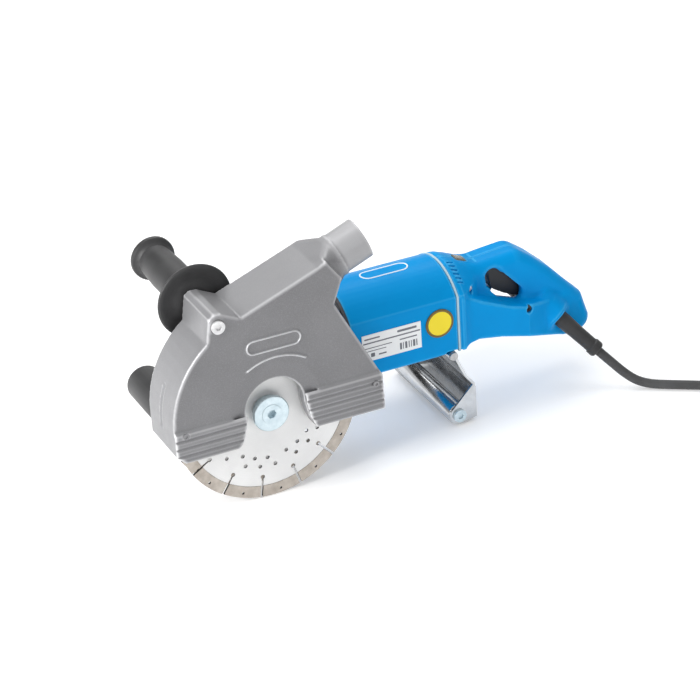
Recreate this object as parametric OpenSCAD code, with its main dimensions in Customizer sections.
// Wall chaser: two diamond blades in a cast hood, bevel and spur gears, series motor, D handle.
// Tool coordinates: X rearward to the handle, Y away from the open side, Z up, spindle at 0, 0, 0.
// The part stands on its blades and rear roller, with its origin under the middle of the tool.

/* [Blades] */
// Diameter of the diamond blades
blade_d = 180; // [172:1:180]
// Distance between the two blades
blade_gap = 28; // [24:1:28]
// Diamond segments on each blade
segment_count = 14; // [10:1:16]
// Width of the cut that one segment makes
segment_w = 2.6; // [2.2:0.1:3]

/* [Hood] */
// Thickness of the cast walls
hood_wall = 4; // [3:0.5:4]
// Outer diameter of the dust nozzle
nozzle_d = 39.5; // [38:0.5:40]
// Length of the dust nozzle's straight part
nozzle_l = 30; // [24:1:36]

/* [Motor] */
// Width of the motor housing
motor_w = 90; // [90:1:92]
// Bore that holds the stator
stator_d = 81; // [78:1:81]

/* [Handles] */
// Width of the D handle's grip
grip_w = 40; // [36:1:44]
// Diameter of the side grip
side_grip_d = 35; // [32:1:37]
// Diameter of the side grip's hand guard
guard_d = 72; // [64:2:74]

/* [Rollers] */
// Diameter of the rear roller
rear_roller_d = 21; // [19:0.5:21]
// Length of the rear roller
rear_roller_l = 120; // [110:1:120]
// Diameter of the front roller
front_roller_d = 35; // [31:1:35]

/* [Cord] */
// Diameter of the mains cord
cord_d = 9; // [9:1:9]

/* [Hidden] */
$fn = 64;

// Places
spindle_pos = [-133.3, -62.9, 90];     // spindle in the part's frame
base_z = -20;                          // flat underside of the hood
motor_y = 70;                          // armature axis
motor_z = 24;
motor_x0 = 99;                         // front and rear faces of the motor housing
motor_x1 = 209;
neck_x = 195.4;                        // where its bore narrows to the rear bearing
neck_r = 31;
handle_x0 = 211;                       // front face of the handle
fit = 0.03;                            // running clearance on the radius
eps = 0.01;

// Hood outline
hood_y0 = -20;                         // near and far faces
hood_y1 = 38;
cover_t = 4;
hood_arc_c = [3, 11];
hood_arc_r = 101.3;
hood_rear_x = 95.5;                    // rear wall beside the motor
step_y = 22;                           // where the hood steps in to clear the motor
nozzle_dir = 22;                       // tilt of the dust duct
nozzle_root = [78, 8.5, 130];
cut_c = [2, 9.5];                      // arch of the U cut-out
cut_r = 29;
side_x = -43;                          // side grip axis
side_z = 102;
front_roller_x = -76;
front_roller_z = base_z + front_roller_d / 2;

// Gears: 16 teeth drive 16, and a 10 tooth bevel pinion drives 32
spur_module = 1.5;
spur_teeth = 16;
bevel_module = 1.5;
pinion_teeth = 10;
wheel_teeth = 32;
pinion_r = bevel_module * pinion_teeth / 2;
wheel_r = bevel_module * wheel_teeth / 2;

// Rear roller bracket
pivot_x = 203;
pivot_z = -14.5;
roller_x = 206.5;
roller_y0 = 27;
roller_z = rear_roller_d / 2 - spindle_pos[2];
roller_y1 = roller_y0 + rear_roller_l;
plate_t = 2;
lug_y = [45, 85];
lug_w = 10;

// Cord, in the part's frame: it leaves the strain relief, lies down and runs to its coil
sleeve_root = [328, 45, -17];
sleeve_tip = [357, 24, -51];
coil_pos = [405, -92];
coil_mid_r = 53.5;
coil_turns_wide = 3;
coil_layers = 4;
cord_route = [
    [223.7, -38.9, 39], [233.7, -46, 27.5], [244.6, -54.3, 15.5], [254, -61.5, 8.2], [265, -69.5, 4.9],
    [280, -80, 4.5], [298, -92, 4.5], [316, -105, 4.5], [333, -119, 4.5], [350, -132.5, 4.5], [368, -142.5, 4.5]
];
tail_route = [
    [377, -148, 31.5], [392, -156, 29.5], [411, -162, 24], [431, -162, 16], [451, -156, 9],
    [468, -144, 5], [480, -128, 4.5], [487, -110, 6], [490, -92, 11.5], [490, -76, 16.5], [489, -66, 17]
];
plug_heading = 97;
plug_r = 17;

// ---------- helpers ----------

function arc(c, r, a0, a1, n = 12) =
    [for (i = [0 : n]) let (a = a0 + (a1 - a0) * i / n) c + r * [cos(a), sin(a)]];
function unit(v) = v / norm(v);
function reverse(p) = [for (i = [len(p) - 1 : -1 : 0]) p[i]];

// Moves every side of a counter-clockwise outline inward by d
function inset(p, d) = let (n = len(p)) [
    for (i = [0 : n - 1])
        let (
            before = unit(p[i] - p[(i + n - 1) % n]),
            after = unit(p[(i + 1) % n] - p[i]),
            n0 = [-before[1], before[0]],
            n1 = [-after[1], after[0]]
        )
        p[i] + d * (n0 + n1) / (1 + n0 * n1)
];

// Twice the area of a triangle, above 0 when its corners run counter-clockwise
function turn(a, b, c) = (b[0] - a[0]) * (c[1] - a[1]) - (b[1] - a[1]) * (c[0] - a[0]);
// Triangles that fill the counter-clockwise outline made of the corners in left, cut off one at a time
function triangles(p, left) = len(left) < 4 ? [left] :
    let (
        n = len(left),
        whole = [
            for (i = [0 : n - 1])
                let (ia = left[(i + n - 1) % n], ib = left[i], ic = left[(i + 1) % n])
                if (turn(p[ia], p[ib], p[ic]) > 0 && len([
                    for (k = left) if (k != ia && k != ib && k != ic && turn(p[ia], p[ib], p[k]) >= 0
                        && turn(p[ib], p[ic], p[k]) >= 0 && turn(p[ic], p[ia], p[k]) >= 0) k
                ]) == 0) i
        ],
        k = whole[0]
    )
    concat([[left[(k + n - 1) % n], left[k], left[(k + 1) % n]]],
        triangles(p, [for (i = [0 : n - 1]) if (i != k) left[i]]));

// Closed skin through rings of equal length; ends hold the triangles of its two ends, or it gets flat convex ones
module skin(rings, ends = undef) {
    n = len(rings[0]);
    last = len(rings) - 1;
    polyhedron(
        points = [for (ring = rings) each ring],
        faces = concat(
            ends ? [for (t = ends[0]) reverse(t)] : [[for (i = [n - 1 : -1 : 0]) i]],
            [for (k = [0 : last - 1]) for (i = [0 : n - 1])
                let (a = k * n + i, b = k * n + (i + 1) % n)
                each ends ? [[a, b, b + n, a + n]] : [[a, b, b + n], [a, b + n, a + n]]],
            ends ? [for (t = ends[1]) [for (i = t) last * n + i]] : [[for (i = [0 : n - 1]) last * n + i]]
        )
    );
}

// X-Z outline extruded from y0 to y1
module slab(y0, y1) {
    translate([0, y1, 0]) rotate([90, 0, 0]) linear_extrude(y1 - y0) children();
}

// Y-Z outline extruded from x0 to x1
module along_x(x0, x1) {
    translate([x0, 0, 0]) rotate([90, 0, 90]) linear_extrude(x1 - x0) children();
}

// Distances in from a rim's face and side, for a rim rounded by r
function rim(r, steps = 2) = r == 0 ? [[0, 0]]
    : [for (k = [0 : steps]) let (a = 90 * k / steps) [r * (1 - cos(a)), r * (1 - sin(a))]];

// X-Z outline extruded from y0 to y1, with its near and far rims rounded by r0 and r1
module soft_slab(outline, y0, y1, r0, r1) {
    rings = concat(
        [for (d = rim(r0)) [y0 + d[0], d[1]]],
        [for (d = reverse(rim(r1))) [y1 - d[0], d[1]]]
    );
    skin(
        [for (ring = rings) [for (p = inset(outline, ring[1])) [p[0], ring[0], p[1]]]],
        [for (r = [r0, r1]) triangles(inset(outline, r), [for (i = [0 : len(outline) - 1]) i])]
    );
}

// Round bar along a list of points; up is never along the route
module tube(route, r, sides, up = [0, 0, 1]) {
    n = len(route);
    skin([
        for (k = [0 : n - 1])
            let (
                t = unit(route[min(k + 1, n - 1)] - route[max(k - 1, 0)]),
                u = unit(cross(t, up)),
                v = cross(t, u)
            )
            [for (i = [0 : sides - 1]) route[k] + r * (cos(360 * i / sides) * u - sin(360 * i / sides) * v)]
    ]);
}

module rod_x(r, x0, x1) {
    translate([x0, 0, 0]) rotate([0, 90, 0]) cylinder(r = r, h = x1 - x0);
}

module rod_y(r, y0, y1) {
    translate([0, y0, 0]) rotate([-90, 0, 0]) cylinder(r = r, h = y1 - y0);
}

module turned_x() {
    rotate([0, 90, 0]) rotate_extrude() children();
}

module turned_y() {
    rotate([-90, 0, 0]) rotate_extrude() children();
}

module ring_y(r0, r1, y0, y1) {
    turned_y() translate([r0, y0]) square([r1 - r0, y1 - y0]);
}

module ring_x(r0, r1, x0, x1) {
    turned_x() translate([r0, x0]) square([r1 - r0, x1 - x0]);
}

// Moves to a place in the X-Z plane
module at_xz(x, z) {
    translate([x, 0, z]) children();
}

module at_motor() {
    translate([0, motor_y, motor_z]) children();
}

// Puts tool coordinates into the part's frame
module tool() {
    translate(spindle_pos) children();
}

// Socket head screw along +Y, with its seat at y = 0 and its head before it
module screw_y(r, length, head_r, head_h) {
    difference() {
        union() {
            rod_y(r, -head_h / 4, length);
            rod_y(head_r, -head_h, 0);
        }
        translate([0, -head_h - eps, 0]) rotate([-90, 0, 0]) cylinder(r = head_r * 0.5, h = head_h * 0.6, $fn = 6);
    }
}

// ---------- hood ----------

// Side outline of the hood, counter-clockwise from the front foot; tip is its end at the nozzle
function hood_outline(tip) = concat(
    [[-90, base_z], [108.5, base_z], [108, 15], [66, 97]],
    tip,
    [[52, 137.5], [-26, 108.5], [-44, 117.5], [-51, 118], [-56, 114], [-59, 94]],
    arc(hood_arc_c, hood_arc_r, 128, 178, 9),
    [[-98.3, -12]]
);
body_outline = hood_outline([[62, 110], [58, 139.7]]);
cover_outline = hood_outline([[75, 121], [60, 142]]);

module hood_shape(d) {
    polygon(inset(body_outline, d));
}

// Arch-shaped cut-out, open at the foot
cut_outline = concat(
    [[-43, base_z - 8], [43, base_z - 8], [39, base_z], [34, -8]],
    arc(cut_c, cut_r, -4, 184, 20),
    [[-32, -14], [-37, base_z]]
);

module motor_side(x0) {
    translate([x0, -100]) square([200, 300]);
}

module hood_body() {
    color([0.62, 0.62, 0.64]) tool() difference() {
        union() {
            difference() {
                union() {
                    slab(hood_y0 + cover_t, step_y) hood_shape(0);
                    slab(step_y - eps, hood_y1) difference() {
                        hood_shape(0);
                        motor_side(hood_rear_x);
                    }
                    duct_end(0);
                    slab(hood_y0 + cover_t, 2) polygon([[55, 105], [66, 97], [75, 121], [60, 142], [52, 137.5]]);
                }
                slab(hood_y0, step_y - hood_wall) hood_shape(hood_wall);
                slab(step_y - hood_wall - eps, hood_y1 - hood_wall) difference() {
                    hood_shape(hood_wall);
                    motor_side(hood_rear_x - hood_wall + 0.5);
                }
                duct_end(hood_wall);
                slab(hood_y0, hood_y1 - hood_wall) translate([-92.3, base_z - 5]) square([184.3, 12]);
            }
            at_xz(side_x, side_z) rod_y(11, 14, hood_y1 + 5);
            at_xz(-48, 106) rod_y(6, hood_y0 + cover_t, 6);
            at_xz(front_roller_x, front_roller_z) rod_y(9, hood_y1 - hood_wall, 44);
            for (x = [-88, 100]) at_xz(x, 8) rod_y(4.5, hood_y0 + cover_t, -4);
        }
        at_xz(0, 0) rod_y(16.1, 30, 50);
        at_xz(side_x, side_z) rod_y(5, 20, 60);
        at_xz(-48, 106) rod_y(2.5, hood_y0, 4);
        at_xz(front_roller_x, front_roller_z) rod_y(5, 33, 50);
        for (x = [-88, 100]) at_xz(x, 8) rod_y(1.6, hood_y0, 4);
        for (x = [-20, 20], z = [12, 40]) at_xz(x, z) rod_y(2.75, 30, 50);
        translate(nozzle_root) rotate([0, 90 - nozzle_dir, 0]) translate([0, 0, -12]) cylinder(r = 17.05, h = 40);
        slab(8, 13) intersection() {
            difference() {
                hood_shape(-1);
                hood_shape(1.2);
            }
            translate([-110, 5]) square([30, 42]);
        }
    }
}

// Duct from the hood's roof to the nozzle; d thins it for the inside
module duct_end(d) {
    hull() {
        slab(hood_y0 + cover_t + (d > 0 ? 2 : 0), hood_y1 - d)
            polygon([[50, 108 + d], [64, 102 + d], [58, 139.7 - d], [52, 137.5 - d]]);
        translate(nozzle_root) rotate([0, 90 - nozzle_dir, 0]) cylinder(r = nozzle_d / 2 - d, h = 2 + (d > 0 ? 1 : 0), $fn = 32);
    }
}

module hood_cover() {
    color([0.6, 0.6, 0.62]) tool() difference() {
        union() {
            soft_slab(cover_outline, hood_y0, hood_y0 + cover_t, 2.2, 0);
            intersection() {
                union() {
                    skirt(-99, 18, 11);
                    skirt(18, 109, 18);
                }
                slab(-30, 0) polygon(cover_outline);
            }
            slab(hood_y0 + 1, -4) difference() {
                polygon(inset(cut_outline, -3));
                translate([-100, -100]) square([200, 100 + base_z]);
            }
            at_xz(cut_c[0], cut_c[1]) rod_y(47, hood_y0 + cover_t - eps, -13);
            plate_marks();
        }
        slab(hood_y0 - 10, 0) polygon(cut_outline);
        at_xz(cut_c[0], cut_c[1]) turned_y()
            polygon([[0, hood_y0 - 1], [49.57, hood_y0 - 1], [26, -15.84], [0, -15.84]]);
        translate([-200, -50, base_z - 50]) cube([400, 100, 50]);
        at_xz(-48, 106) rod_y(2.75, -30, 0);
        at_xz(-48, 106) rod_y(6.6, -30, hood_y0 + 1);
        for (x = [-88, 100]) at_xz(x, 8) rod_y(1.8, -30, 0);
    }
}

// Ribbed foot of the cover from x0 to x1, up to z1
module skirt(x0, x1, z1) {
    rib = (z1 - base_z) / 4;
    along_x(x0, x1) polygon(concat(
        [[hood_y0 + 1, base_z], [hood_y0 + 1, z1 + 2]],
        [for (k = [3 : -1 : 0]) each [
            [hood_y0 - 0.6, base_z + (k + 1) * rib],
            [hood_y0 - 3, base_z + (k + 1) * rib - 2],
            [hood_y0 - 3, base_z + k * rib + 1.2]
        ]],
        [[hood_y0 - 3, base_z]]
    ));
}

// Raised rim of the blank name field and the arc below it
module plate_marks() {
    translate([3.7, hood_y0, 76]) slab(-0.9, 1) difference() {
        pill(54, 14.5);
        pill(51, 11.5);
    }
    at_xz(4, 8) slab(hood_y0 - 0.9, hood_y0 + 1) polygon(concat(
        arc([0, 0], 54.8, 56, 122, 16), reverse(arc([0, 0], 53, 56, 122, 16))));
}

module pill(length, height) {
    for (s = [-1, 1]) translate([s * (length - height) / 2, 0]) circle(d = height);
    square([length - height, height], center = true);
}

module cover_screws() {
    color([0.86, 0.87, 0.88]) tool() {
        translate([-48, hood_y0 + 1, 106]) screw_y(2.5, 20, 6.3, 3.4);
        for (x = [-88, 100]) translate([x, hood_y0 - 3, 8]) screw_y(1.6, 18, 3, 1.2);
    }
}

module dust_nozzle() {
    color([0.66, 0.66, 0.68]) tool() translate(nozzle_root) rotate([0, 90 - nozzle_dir, 0]) difference() {
        union() {
            cylinder(r = 17, h = 10);
            translate([0, 0, 2]) cylinder(r = nozzle_d / 2 + 1, h = 2.5);
            translate([0, 0, 2]) cylinder(r = nozzle_d / 2, h = nozzle_l);
        }
        translate([0, 0, -1]) cylinder(r = 15, h = nozzle_l + 10);
    }
}

module hood_screws() {
    color([0.55, 0.56, 0.58]) tool() for (x = [-20, 20], z = [12, 40])
        translate([x, hood_y1 - hood_wall, z]) screw_y(2.5, 17, 4.25, 3);
}

// ---------- blades ----------

module blade_core(y) {
    tool() slab(y - 0.9, y + 0.9) difference() {
        circle(r = blade_d / 2 - 11.4, $fn = 128);
        circle(r = 11.1);
        for (k = [0 : segment_count - 1]) rotate((k + 0.2) * 360 / segment_count) {
            translate([69.5, 0]) circle(r = 2.1);
            translate([69.5, -0.9]) square([20, 1.8]);
        }
        for (group = [0 : 6], k = [0 : 5]) rotate(group * 360 / 7 + k * 7.4 - 123)
            translate([k % 2 == 0 ? 50 : 58.5, 0]) circle(r = 1.9);
    }
}

module blade_rim(y) {
    tool() slab(y - segment_w / 2, y + segment_w / 2) difference() {
        circle(d = blade_d, $fn = 128);
        circle(r = blade_d / 2 - 11.4, $fn = 128);
        for (k = [0 : segment_count - 1]) rotate((k + 0.2) * 360 / segment_count) {
            translate([70, -1.2]) square([30, 2.4]);
            rotate(180 / segment_count) translate([85.5, 0]) circle(r = 1.3);
        }
    }
}

module blade_core_near() {
    color([0.9, 0.9, 0.9]) blade_core(0);
}

module blade_rim_near() {
    color([0.76, 0.72, 0.68]) blade_rim(0);
}

module blade_core_far() {
    color([0.9, 0.9, 0.9]) blade_core(blade_gap);
}

module blade_rim_far() {
    color([0.76, 0.72, 0.68]) blade_rim(blade_gap);
}

module outer_flange() {
    color([0.8, 0.86, 0.88]) tool() turned_y() polygon([
        [5.05, -0.9], [14.5, -0.9], [14.5, -8], [17.5, -8], [17.5, -11.3], [16.8, -12], [9.6, -12], [5.2, -9]
    ]);
}

module spacer_sleeve() {
    color([0.7, 0.71, 0.73]) tool() turned_y() polygon([
        [8, -0.85], [11.05, -0.85], [11.05, 0.9], [17.5, 0.9], [17.5, blade_gap - 0.9],
        [11.05, blade_gap - 0.9], [11.05, blade_gap - 0.5], [8, blade_gap - 0.5]
    ]);
}

module inner_flange() {
    color([0.7, 0.71, 0.73]) tool() turned_y() polygon([
        [8, blade_gap - 0.45], [11.05, blade_gap - 0.45], [11.05, blade_gap + 0.9], [17.5, blade_gap + 0.9],
        [17.5, blade_gap + 3], [14, blade_gap + 5], [8, blade_gap + 5]
    ]);
}

module clamping_bolt() {
    color([0.62, 0.74, 0.77]) tool() difference() {
        union() {
            turned_y() polygon([[0, -12.4], [9.4, -12.4], [9.4, -12.05], [5, -9.05], [0, -9.05]]);
            rod_y(5, -10, 18);
        }
        translate([0, -13, 0]) rotate([-90, 0, 0]) cylinder(r = 4.6, h = 6, $fn = 6);
    }
}

// ---------- gears ----------

// Straight-sided gear outline with generous backlash
module spur_outline(teeth) {
    pitch_r = spur_module * teeth / 2;
    step = 360 / teeth;
    polygon([
        for (k = [0 : teeth - 1])
            let (a = k * step)
            each [
                (pitch_r - 1.6) * [cos(a - step * 0.25), sin(a - step * 0.25)],
                (pitch_r + 1.1) * [cos(a - step * 0.1), sin(a - step * 0.1)],
                (pitch_r + 1.1) * [cos(a + step * 0.1), sin(a + step * 0.1)],
                (pitch_r - 1.6) * [cos(a + step * 0.25), sin(a + step * 0.25)]
            ]
    ]);
}

function polar(a, p) = [p[0] * cos(a), p[0] * sin(a), p[1]];

// Toothed ring of a bevel gear about +Z, with the two cones' common apex at 0.
// pitch, back_in and back_out are [radius, height] of the pitch circle and of the ring's plain back.
module bevel_teeth(teeth, pitch, back_in, back_out) {
    step = 360 / teeth;
    cone = norm(pitch);
    rise = [pitch[1], -pitch[0]] / cone;
    tip = pitch + 1.1 * rise;
    root = pitch - 1.6 * rise;
    small = 0.72;
    section = [
        for (k = [0 : teeth - 1], side = [-0.25, -0.1, 0.1, 0.25])
            [(k + side) * step, abs(side) < 0.2 ? tip : root]
    ];
    n = len(section);
    polyhedron(
        points = concat(
            [for (s = section) polar(s[0], s[1])],
            [for (s = section) polar(s[0], s[1] * small)],
            [for (s = section) polar(s[0], back_in)],
            [for (s = section) polar(s[0], back_out)]
        ),
        faces = [
            for (ring = [0 : 3], i = [0 : n - 1])
                let (
                    a = ring * n + i,
                    b = ring * n + (i + 1) % n,
                    c = ((ring + 1) % 4) * n + (i + 1) % n,
                    d = ((ring + 1) % 4) * n + i
                )
                each [[a, b, c], [a, c, d]]
        ]
    );
}

module spindle() {
    color([0.6, 0.62, 0.65]) tool() difference() {
        turned_y() polygon([
            [0, -0.5], [8, -0.5], [8, 33], [11, 33], [11, 40], [7.5 - fit, 40], [7.5 - fit, 50.3],
            [6.5, 50.3], [6.5, 59.7], [5 - fit, 59.7], [5 - fit, 67], [0, 67]
        ]);
        rod_y(5, -5, 18);
    }
}

module spindle_gear() {
    color([0.5, 0.51, 0.53]) tool() slab(50.8, 59.2) difference() {
        rotate(180 / spur_teeth) spur_outline(spur_teeth);
        circle(r = 6.5);
    }
}

module spindle_bearing() {
    color([0.8, 0.81, 0.83]) tool() ring_y(7.5, 16, 41, 50);
}

module small_bearings() {
    color([0.8, 0.81, 0.83]) tool() for (z = [0, motor_z]) at_xz(0, z) ring_y(5, 11, 60.5, 66.5);
}

module intermediate_shaft() {
    color([0.6, 0.62, 0.65]) tool() at_xz(0, motor_z) {
        turned_y() polygon([
            [0, 50.4], [5.5, 50.4], [5.5, 60.2], [5 - fit, 60.2], [5 - fit, 66.8], [6, 66.8], [6, 91.8],
            [5 - fit, 91.8], [5 - fit, 99.4], [0, 99.4]
        ]);
        slab(50.8, 59.2) spur_outline(spur_teeth);
    }
}

module bevel_gear() {
    color([0.5, 0.51, 0.53]) tool() at_xz(0, motor_z) difference() {
        union() {
            translate([0, motor_y, 0]) rotate([-90, 0, 0])
                bevel_teeth(wheel_teeth, [wheel_r, pinion_r], [16.5, 15], [23, 15]);
            ring_y(6, 17.2, motor_y + 8.5, motor_y + 15);
            ring_y(6, 11, motor_y + 8.5, motor_y + 20);
        }
        rod_y(6, 60, 100);
    }
}

module intermediate_bearing() {
    color([0.8, 0.81, 0.83]) tool() at_xz(0, motor_z) ring_y(5, 13, 92, 99.4);
}

// Outline of the gear head around both gear axes
module head_outline(d) {
    difference() {
        union() {
            circle(r = 19.5 - d);
            translate([0, motor_z]) circle(r = 31 - d);
            translate([0, -5 + d]) square([62 - d, 55 - 2 * d]);
        }
        translate([-50, -60]) square([200, 42.5 + d]);
    }
}

module gear_case() {
    color([0.2, 0.21, 0.22]) tool() difference() {
        union() {
            slab(hood_y1, 100) head_outline(0);
            at_motor() turned_x() polygon([[0, 10], [30, 10], [30, 74], [31.5, 96], [0, 96]]);
            at_motor() for (a = [45, 135, 225, 315]) rotate([0, a, 0]) translate([31, 0, 0]) rod_y(5, 18, 29.8);
            intersection() {
                along_x(88, 96) motor_section(1);
                translate([80, hood_y1 + 0.5, -50]) cube([20, 100, 150]);
            }
            along_x(96, motor_x0) motor_section(0.5);
        }
        at_xz(0, 0) rod_y(16, 30, 50);
        slab(50 - eps, 60) {
            circle(r = 14.5);
            translate([0, motor_z]) circle(r = 14.5);
            translate([-10, 0]) square([20, motor_z]);
        }
        for (z = [0, motor_z]) at_xz(0, z) rod_y(11, 59, 66.5);
        for (z = [0, motor_z]) at_xz(0, z) rod_y(8, 66, 70);
        at_xz(0, motor_z) rod_y(27.5, 67.5, 101);
        at_motor() rod_x(10, 14, 34);
        at_motor() rod_x(14, 32, 43);
        at_motor() turned_x() polygon([[0, 42], [20, 42], [24, 74], [28, 94], [28, 110], [0, 110]]);
        for (x = [-20, 20], z = [12, 40]) at_xz(x, z) rod_y(2.5, 30, 52);
        at_motor() for (a = [45, 135, 225, 315]) rotate([0, a, 0]) translate([31, 0, 0]) rod_y(2, 20, 40);
        bolt_places() rod_x(2, 90, 110);
    }
}

module gear_cover() {
    color([0.24, 0.25, 0.26]) tool() at_xz(0, motor_z) difference() {
        union() {
            rod_y(31, 100, 103.5);
            rod_y(16, 91.5, 100.5);
            for (a = [45, 135, 225, 315]) rotate([0, a, 0]) translate([31, 0, 0]) rod_y(5, 100, 103.5);
        }
        rod_y(13, 85, 99.5);
        for (a = [45, 135, 225, 315]) rotate([0, a, 0]) translate([31, 0, 0]) rod_y(2.2, 90, 110);
    }
}

module gear_cover_screws() {
    color([0.75, 0.76, 0.78]) tool() at_xz(0, motor_z)
        for (a = [45, 135, 225, 315]) rotate([0, a, 0]) translate([31, 103.5, 0]) mirror([0, 1, 0]) screw_y(2, 12, 3.5, 2.5);
}

// ---------- motor ----------

// Y-Z outline of the motor housing, about its middle
motor_roof_r = 57;
motor_foot_z = -10.5;
motor_outline = concat(
    [[-34, -17.5], [-20, -19.5], [20, -19.5], [34, -17.5], [motor_w / 2, motor_foot_z]],
    arc([0, 11], motor_roof_r, 38, 142, 16),
    [[-motor_w / 2, motor_foot_z]]
);

module motor_section(d) {
    translate([motor_y, 0]) polygon(inset(motor_outline, d));
}

// The same outline with a flat foot, above the roller bracket's pivot
module rear_section(d) {
    difference() {
        motor_section(d);
        translate([-50, motor_foot_z + d - 50]) square([300, 50]);
    }
}

// Places of the four long bolts
module bolt_places() {
    for (p = [[-40, 44.5], [40, 44.5], [-39.5, -5], [39.5, -5]]) translate([0, motor_y + p[0], p[1]]) children();
}

module armature_shaft() {
    color([0.62, 0.64, 0.67]) tool() at_motor() {
        turned_x() polygon([
            [0, 15.5], [3.1, 15.5], [3.1, 26.5], [6 - fit, 26.5], [6 - fit, 42.5], [7, 42.5], [7, 181],
            [6, 181], [6, 198.7], [4 - fit, 198.7], [4 - fit, 206], [0, 206]
        ]);
        rotate([0, 90, 0]) bevel_teeth(pinion_teeth, [pinion_r, wheel_r], [3, 17.2], [3, 26]);
    }
}

module armature_core() {
    color([0.55, 0.33, 0.2]) tool() at_motor() {
        ring_x(7, 24, 113, 122);
        difference() {
            ring_x(7, 26.5, 122, 174);
            for (k = [0 : 11]) rotate([30 * k, 0, 0]) translate([120, -0.8, 24]) cube([60, 1.6, 5]);
        }
        ring_x(7, 23, 174, 180);
    }
}

module commutator() {
    color([0.75, 0.47, 0.3]) tool() at_motor() difference() {
        ring_x(6, 14, 182, 197);
        for (k = [0 : 23]) rotate([15 * k, 0, 0]) translate([181, -0.25, 13.2]) cube([14, 0.5, 2]);
    }
}

module cooling_fan() {
    color([0.15, 0.15, 0.16]) tool() at_motor() {
        ring_x(7, 12, 100, 110);
        ring_x(11.9, 36, 108, 110);
        for (k = [0 : 10]) rotate([360 / 11 * k, 0, 0]) translate([101, -0.8, 15]) cube([7.1, 1.6, 20]);
    }
}

module front_bearing() {
    color([0.8, 0.81, 0.83]) tool() at_motor() ring_x(6, 14, 34, 42);
}

module rear_bearing() {
    color([0.8, 0.81, 0.83]) tool() at_motor() ring_x(4, 11, 199, 206);
}

module stator_core() {
    color([0.42, 0.43, 0.45]) tool() at_motor() difference() {
        rod_x(stator_d / 2, 124, 172);
        rod_x(27, 120, 180);
        for (s = [-1, 1]) translate([120, s * 30 - 5, -12]) cube([60, 10, 24]);
    }
}

module stator_winding() {
    color([0.72, 0.42, 0.22]) tool() at_motor() for (x = [116, 172]) difference() {
        ring_x(28, 38.5, x, x + 8);
        for (s = [-1, 1]) translate([x - 1, -6, s * 33 - 8]) cube([10, 12, 16]);
    }
}

// Carries the rear bearing and the brushes
module bearing_bridge() {
    color([0.12, 0.12, 0.13]) tool() at_motor() difference() {
        intersection() {
            union() {
                rod_x(14, 199, 208.5);
                for (a = [0, 90, 180, 270]) rotate([a, 0, 0]) translate([199, -4.5, 0]) cube([8, 9, 50]);
                for (s = [-1, 1]) translate([183, s * 26 - 10, -7.5]) cube([17, 20, 15]);
            }
            union() {
                rod_x(stator_d / 2, 180, neck_x);
                rod_x(neck_r, 180, 209);
            }
        }
        rod_x(11, 190, 206);
        rod_x(5, 180, 220);
        rod_x(15.5, 180, 198.6);
        for (s = [-1, 1]) translate([184.9, s * 28 - 15, -5]) cube([10.2, 30, 10]);
    }
}

module brush_holders() {
    color([0.8, 0.65, 0.3]) tool() at_motor() for (s = [-1, 1]) difference() {
        translate([185, s * 25.5 - 9.5, -4.9]) cube([10, 19, 9.8]);
        translate([186, s * 24.5 - 10, -4]) cube([8, 19.5, 8]);
    }
}

module carbon_brushes() {
    color([0.1, 0.1, 0.1]) tool() at_motor() for (s = [-1, 1])
        translate([186.1, s * 19.5 - 5, -3.9]) cube([7.8, 10, 7.8]);
}

module brush_springs() {
    color([0.7, 0.7, 0.72]) tool() at_motor() for (s = [-1, 1]) tube([
        for (k = [0 : 32]) let (a = k * 45) [190 + 2.8 * cos(a), s * (25.3 + k * 0.25), 2.8 * sin(a)]
    ], 0.5, 6);
}

module motor_housing() {
    color([0.02, 0.52, 0.8]) tool() difference() {
        along_x(motor_x0, motor_x1) motor_section(0);
        at_motor() rod_x(stator_d / 2, 90, neck_x);
        at_motor() rod_x(neck_r, 180, 220);
        bolt_places() rod_x(2.2, 90, 220);
        translate([pivot_x - 7, 0, -40]) cube([20, 200, 30.7]);
    }
    color([0.02, 0.52, 0.8]) tool() pivot_lugs();
}

// Two lugs under the housing that carry the bracket's pivot
module pivot_lugs() {
    for (y = lug_y) difference() {
        union() {
            translate([pivot_x - 7, y, pivot_z]) cube([9, 10, 5.5]);
            at_xz(pivot_x, pivot_z) rod_y(4.5, y, y + lug_w);
        }
        at_xz(pivot_x, pivot_z) rod_y(2.5, y - 1, y + lug_w + 1);
    }
}

module through_bolts() {
    color([0.7, 0.71, 0.73]) tool() bolt_places() {
        rod_x(2, 96.2, 216);
        rod_x(3.6, 214, 217);
    }
}

module seam_gasket() {
    color([0.75, 0.88, 0.95]) tool() difference() {
        along_x(motor_x1, handle_x0) rear_section(-0.6);
        at_motor() rod_x(30, 200, 220);
        bolt_places() rod_x(2.2, 200, 220);
    }
}

module name_plate() {
    color([0.93, 0.94, 0.95]) tool() translate([109.5, motor_y - motor_w / 2 - 0.5, 4.5]) cube([61, 0.5, 27.5]);
}

module badge() {
    color([0.95, 0.85, 0.1]) tool() at_xz(190, 24) rod_y(13.8, motor_y - motor_w / 2 - 1, motor_y - motor_w / 2);
}

// ---------- handle ----------

// Side outline of the grip and its tail
grip_outline = concat(
    [[handle_x0, -9], [232, -7], [258, -13], [300, -26], [335, -41]],
    arc([352, -31], 13, 250, 370, 8),
    [[352, -6], [340, 9], [322, 29], [305, 47]],
    arc([283, 46], 16, 50, 100, 5),
    [[262, 59.5], [248, 58], [236, 59.5], [224, 64], [handle_x0, 65]]
);

// Finger opening, and the room in front of it that the fingers enter from the far side
opening_outline = concat(
    [[254.6, 31], [258.5, 25.5], [265.5, 20.8]],
    arc([285.5, 19], 5.5, 255, 400, 7),
    arc([261, 42.3], 8, 45, 165, 7)
);
finger_outline = [[262, 17], [262, 50], [250, 50], [244, 44], [244, 24], [250, 19]];
finger_y = motor_y - 8;
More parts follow.
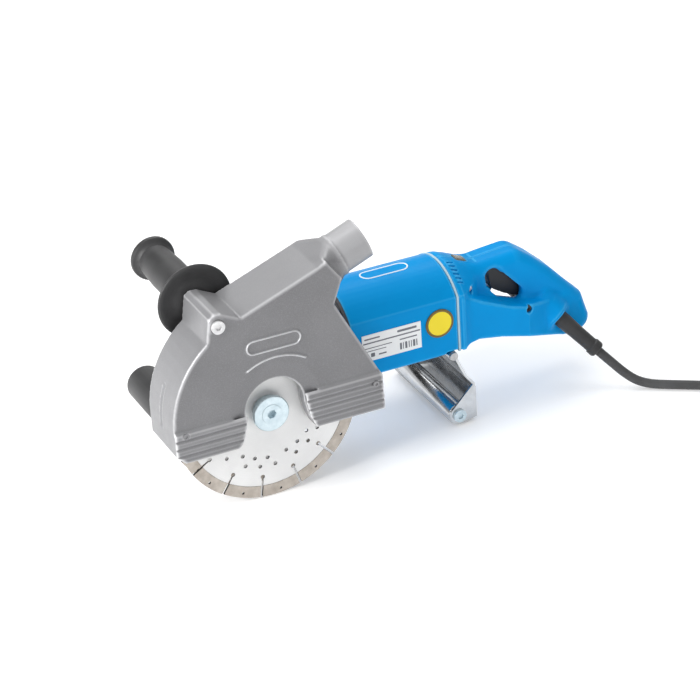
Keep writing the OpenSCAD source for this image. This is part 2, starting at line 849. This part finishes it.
// Floor of the opening, which falls away towards the far side
scoop_outline = [[256, 27], [265.5, 20.8], [284, 13.9], [286, 16], [275, 24], [262, 34], [256, 38]];
scoop_y0 = motor_y - 16;
scoop_run = [26, 60, -35];

// Side and plan outlines of the lower beam
beam_side = [
    [handle_x0, -10.5], [224, -8.5], [233, -7], [258, -12], [286, -20], [314, -31], [334, -39], [366, -44],
    [366, -10], [348, 1], [328, 5], [289, 12.5], [270, 18], [255, 24], [240, 31], [226, 39], [handle_x0, 46]
];
beam_plan = [
    [handle_x0, 26], [250, 29], [288, 31], [343, 52], [361, 64], [361, 76], [343, 84], [288, 90],
    [250, 92], [handle_x0, 94]
];

// Flare that joins the motor to the grip
module handle_flare(d) {
    hull() {
        along_x(handle_x0, handle_x0 + 6) rear_section(d);
        slab(motor_y - 22 + d, motor_y + 22 - d)
            polygon([[handle_x0 + 3, 10], [240 - d, 10], [240 - d, 57 - d], [handle_x0 + 3, 63 - d]]);
    }
}

// Lower beam, with its skin moved inward by d
module handle_beam(d) {
    intersection() {
        slab(20, 120) polygon(inset(beam_side, d));
        translate([0, 0, -60]) linear_extrude(140) polygon(inset(beam_plan, d));
    }
}

module handle_scoop(d) {
    hull() for (k = [0, 1])
        translate(k * scoop_run) slab(scoop_y0, scoop_y0 + 0.1) polygon(inset(scoop_outline, -d));
}

module handle_solid() {
    soft_slab(grip_outline, motor_y - grip_w / 2, motor_y + grip_w / 2, 9, 9);
    handle_beam(0);
    handle_flare(0);
    at_sleeve() translate([0, 0, -20]) cylinder(r = 13.5, h = 22);
}

module handle_hollow() {
    difference() {
        union() {
            slab(motor_y - grip_w / 2 + 4.3, motor_y + grip_w / 2 - 4.3) polygon(inset(grip_outline, 4.2));
            handle_beam(3);
            handle_flare(3);
        }
        slab(0, 150) polygon(inset(opening_outline, -3));
        slab(finger_y - 3, 150) polygon(inset(finger_outline, -3));
        handle_scoop(3);
        for (s = concat(near_seats, far_seats)) at_xz(s[0], s[2]) rod_y(4.5, 10, 130);
        translate([200, 0, -60]) cube([14, 200, 160]);
    }
}

module handle_half() {
    difference() {
        handle_solid();
        handle_hollow();
        slab(0, 150) polygon(opening_outline);
        slab(finger_y, 150) polygon(finger_outline);
        handle_scoop(0);
        for (s = near_seats) handle_screw_bore(s);
        from_far() for (s = far_seats) handle_screw_bore(s);
        bolt_places() rod_x(2.2, 200, 218);
        bolt_places() rod_x(3.8, 214, 218);
        at_motor() rod_x(30, 200, 218);
        slab(motor_y - 10.4, motor_y + 10.4) for (a = [0, 2, 4, 6]) translate(trigger_pivot)
            rotate(a) translate(-trigger_pivot) polygon(inset(trigger_outline, -0.8));
        at_xz(trigger_pivot[0], trigger_pivot[1]) rod_y(2 + fit, motor_y - 14.5, motor_y + 14.5);
        at_xz(lock_place[0], lock_place[1]) rod_y(4.1, 80, 95);
        at_sleeve() translate([0, 0, -25]) cylinder(r = 8, h = 80);
        slab(motor_y - 6, motor_y + 6) polygon(inset(lens_outline, -0.05));
        for (k = [0 : 4]) translate([217 + 4.5 * k, 20, 47 - 1.5 * k]) cube([2, 26, 9]);
    }
}

// Screws that join the two shells, from the near and from the far side: x, depth of the seat, z
near_seats = [[231, 46, 41], [289, 37, 8]];
far_seats = [[345, 61, -24], [322, 58, 8], [246, 54, -1]];
lock_place = [296, 42];
trigger_pivot = [270, 51];
trigger_swing = 6;
trigger_outline = [
    [260.5, 46], [262, 30], [265, 24.5], [276, 17.5], [290, 11], [295, 12], [300, 18], [303, 25],
    [281, 47], [275, 53], [270, 54.5], [265, 53.5], [261.5, 50]
];
lens_outline = [[229, 54], [240, 52], [240, 59.4], [236, 60], [229, 62.4]];

module handle_screw_bore(seat) {
    at_xz(seat[0], seat[2]) {
        rod_y(1.7, 0, 2 * motor_y - seat[1] - 2);
        rod_y(3.7, 0, seat[1]);
    }
}

// Mirrors to the far side of the motor's middle plane
module from_far() {
    translate([0, 2 * motor_y, 0]) mirror([0, 1, 0]) children();
}

// Turns +Z onto the cord's way out of the handle
module at_sleeve() {
    way = unit(sleeve_tip - sleeve_root);
    translate(sleeve_root) rotate([0, acos(way[2]), atan2(way[1], way[0])]) children();
}

module handle_shell_left() {
    color([0.02, 0.52, 0.8]) tool() intersection() {
        handle_half();
        translate([200, 0, -80]) cube([200, motor_y, 200]);
    }
}

module handle_shell_right() {
    color([0.02, 0.52, 0.8]) tool() intersection() {
        handle_half();
        translate([200, motor_y, -80]) cube([200, 80, 200]);
    }
}

module handle_screw(seat) {
    screw_y(1.7, 2 * (motor_y - seat[1]) - 3, 3.4, 2.2);
}

module handle_screws() {
    color([0.7, 0.71, 0.73]) tool() {
        for (s = near_seats) translate(s) handle_screw(s);
        from_far() for (s = far_seats) translate(s) handle_screw(s);
    }
}

module trigger() {
    color([0.08, 0.08, 0.08]) tool() {
        slab(motor_y - 10, motor_y + 10) polygon(trigger_outline);
        at_xz(trigger_pivot[0], trigger_pivot[1]) rod_y(2, motor_y - 14, motor_y + 14);
    }
}

module lock_off_button() {
    color([0.1, 0.1, 0.1]) tool() at_xz(lock_place[0], lock_place[1]) {
        rod_y(4, 83, 92.5);
        rod_y(5.5, 83, 84.5);
    }
}

module switch_body() {
    color([0.2, 0.2, 0.22]) tool() translate([304.7, motor_y, 36.1]) rotate([0, 46.6, 0]) {
        cube([28, 20, 5.4], center = true);
        translate([3, 0, -3]) cube([5, 8, 2.4], center = true);
    }
}

module overload_lens() {
    color([0.45, 0.42, 0.36]) tool() slab(motor_y - 5.95, motor_y + 5.95) polygon(lens_outline);
}

// ---------- cord ----------

module strain_relief() {
    color([0.12, 0.12, 0.12]) tool() at_sleeve() rotate_extrude() polygon([
        [0, -8], [7.95, -8], [7.95, 6], [7.3, 20], [7.1, 41], [8.2, 42], [8.2, 48], [7.2, 49.4], [0, 49.4]
    ]);
}

module cord() {
    color([0.1, 0.1, 0.1]) {
        tube(cord_route, cord_d / 2, 10);
        tube(tail_route, cord_d / 2, 10);
    }
}

module cord_coil() {
    color([0.1, 0.1, 0.1]) translate(coil_pos) rotate_extrude()
        translate([coil_mid_r - coil_turns_wide * cord_d / 2, 0])
            square([coil_turns_wide * cord_d, coil_layers * cord_d]);
}

// Puts +Z along the plug, away from its cord
module at_plug() {
    translate(tail_route[len(tail_route) - 1]) rotate([0, 90, plug_heading]) children();
}

module plug_body() {
    color([0.1, 0.1, 0.1]) at_plug() difference() {
        rotate_extrude() polygon([
            [0, 0], [6, 0], [7, 18], [10, 24], [15, 28], [plug_r, 33], [plug_r, 60], [16, 62], [0, 62]
        ]);
        pins(2.4);
    }
}

module pins(r) {
    for (y = [-9.5, 9.5]) translate([0, y, 55]) cylinder(r = r, h = 26);
}

module plug_pins() {
    color([0.8, 0.7, 0.4]) at_plug() pins(2.4);
}

// ---------- rollers ----------

module rear_roller() {
    color([0.8, 0.81, 0.83]) tool() at_xz(roller_x, roller_z)
        ring_y(4 + fit, rear_roller_d / 2, roller_y0 + 0.3, roller_y1 - 0.3);
}

module roller_axle() {
    color([0.75, 0.76, 0.78]) tool() at_xz(roller_x, roller_z) {
        translate([0, roller_y0 - plate_t, 0]) screw_y(4, rear_roller_l + 2 * plate_t, 6.4, 2.6);
        rod_y(6, roller_y1 + plate_t, roller_y1 + plate_t + 1);
    }
}

// Side outline of the bracket's end plates
plate_outline = concat(
    arc([roller_x, roller_z], 9.8, 135, 290, 10),
    [[223, -86], [225, -85], [225, -53], [222, -50.5]]
);
// Side outline of its curved web, from the pivot down
web_outline = [
    [204.5, -18.6], [208.5, -28], [214, -40], [222, -50.5], [223, -56], [223, -85.5],
    [225, -85.5], [225, -55.5], [224, -49], [216, -38.6], [210.7, -27], [207, -17.5]
];

module roller_bracket() {
    color([0.78, 0.79, 0.8]) tool() {
        difference() {
            union() {
                slab(roller_y0 - plate_t, roller_y1 + plate_t) polygon(web_outline);
                for (y = [roller_y0 - plate_t, roller_y1]) slab(y, y + plate_t) polygon(plate_outline);
                at_xz(pivot_x, pivot_z) rod_y(4.5, 25.5, 114.5);
            }
            at_xz(pivot_x, pivot_z) rod_y(2.5 + fit, 20, 160);
            for (y = lug_y) at_xz(pivot_x, pivot_z) rod_y(6.5, y - 0.3, y + lug_w + 0.3);
            at_xz(roller_x, roller_z) rod_y(4, 0, 200);
        }
    }
}

module bracket_pivot() {
    color([0.75, 0.76, 0.78]) tool() at_xz(pivot_x, pivot_z) {
        rod_y(2.5, 25, 117);
        rod_y(4, 23, 25.2);
        rod_y(4, 114.8, 118);
    }
}

module front_roller() {
    color([0.1, 0.1, 0.1]) tool() at_xz(front_roller_x, front_roller_z) turned_y() polygon([
        [5 + fit, 44.5], [front_roller_d / 2 - 1.5, 44.5], [front_roller_d / 2, 46],
        [front_roller_d / 2, 109], [front_roller_d / 2 - 2, 111], [5 + fit, 111]
    ]);
}

module front_axle() {
    color([0.7, 0.71, 0.73]) tool() at_xz(front_roller_x, front_roller_z) {
        rod_y(5, 34.5, 111.3);
        rod_y(8, 111.3, 114);
    }
}

// ---------- side grip ----------

module side_grip() {
    r = side_grip_d / 2;
    color([0.1, 0.1, 0.1]) tool() at_xz(side_x, side_z) turned_y() polygon([
        [0, 20.5], [5, 20.5], [5, 47.1], [r - 4, 47.1], [r - 2, 51], [r - 1.4, 60], [r - 0.2, 80],
        [r, 108], [r - 0.8, 128], [r - 1.6, 139], [r + 0.5, 141.5], [r + 3.6, 143.5], [r + 4, 145],
        [r + 4, 147.5], [r + 2.5, 149.5], [r - 3, 150], [0, 150]
    ]);
}

module grip_guard() {
    r = guard_d / 2;
    color([0.1, 0.1, 0.1]) tool() at_xz(side_x, side_z) turned_y() polygon([
        [5.02, 43], [14, 43], [22, 44.4], [r - 2, 43.2], [r, 44.2], [r, 46.2], [r - 2, 47], [5.02, 47]
    ]);
}

hood_body();
hood_cover();
cover_screws();
dust_nozzle();
hood_screws();
blade_core_near();
blade_rim_near();
blade_core_far();
blade_rim_far();
outer_flange();
spacer_sleeve();
inner_flange();
clamping_bolt();
spindle();
spindle_gear();
spindle_bearing();
small_bearings();
intermediate_shaft();
bevel_gear();
intermediate_bearing();
gear_case();
gear_cover();
gear_cover_screws();
armature_shaft();
armature_core();
commutator();
cooling_fan();
front_bearing();
rear_bearing();
stator_core();
stator_winding();
bearing_bridge();
brush_holders();
carbon_brushes();
brush_springs();
motor_housing();
through_bolts();
seam_gasket();
name_plate();
badge();
handle_shell_left();
handle_shell_right();
handle_screws();
trigger();
lock_off_button();
switch_body();
overload_lens();
strain_relief();
cord();
cord_coil();
plug_body();
plug_pins();
rear_roller();
roller_axle();
roller_bracket();
bracket_pivot();
front_roller();
front_axle();
side_grip();
grip_guard();
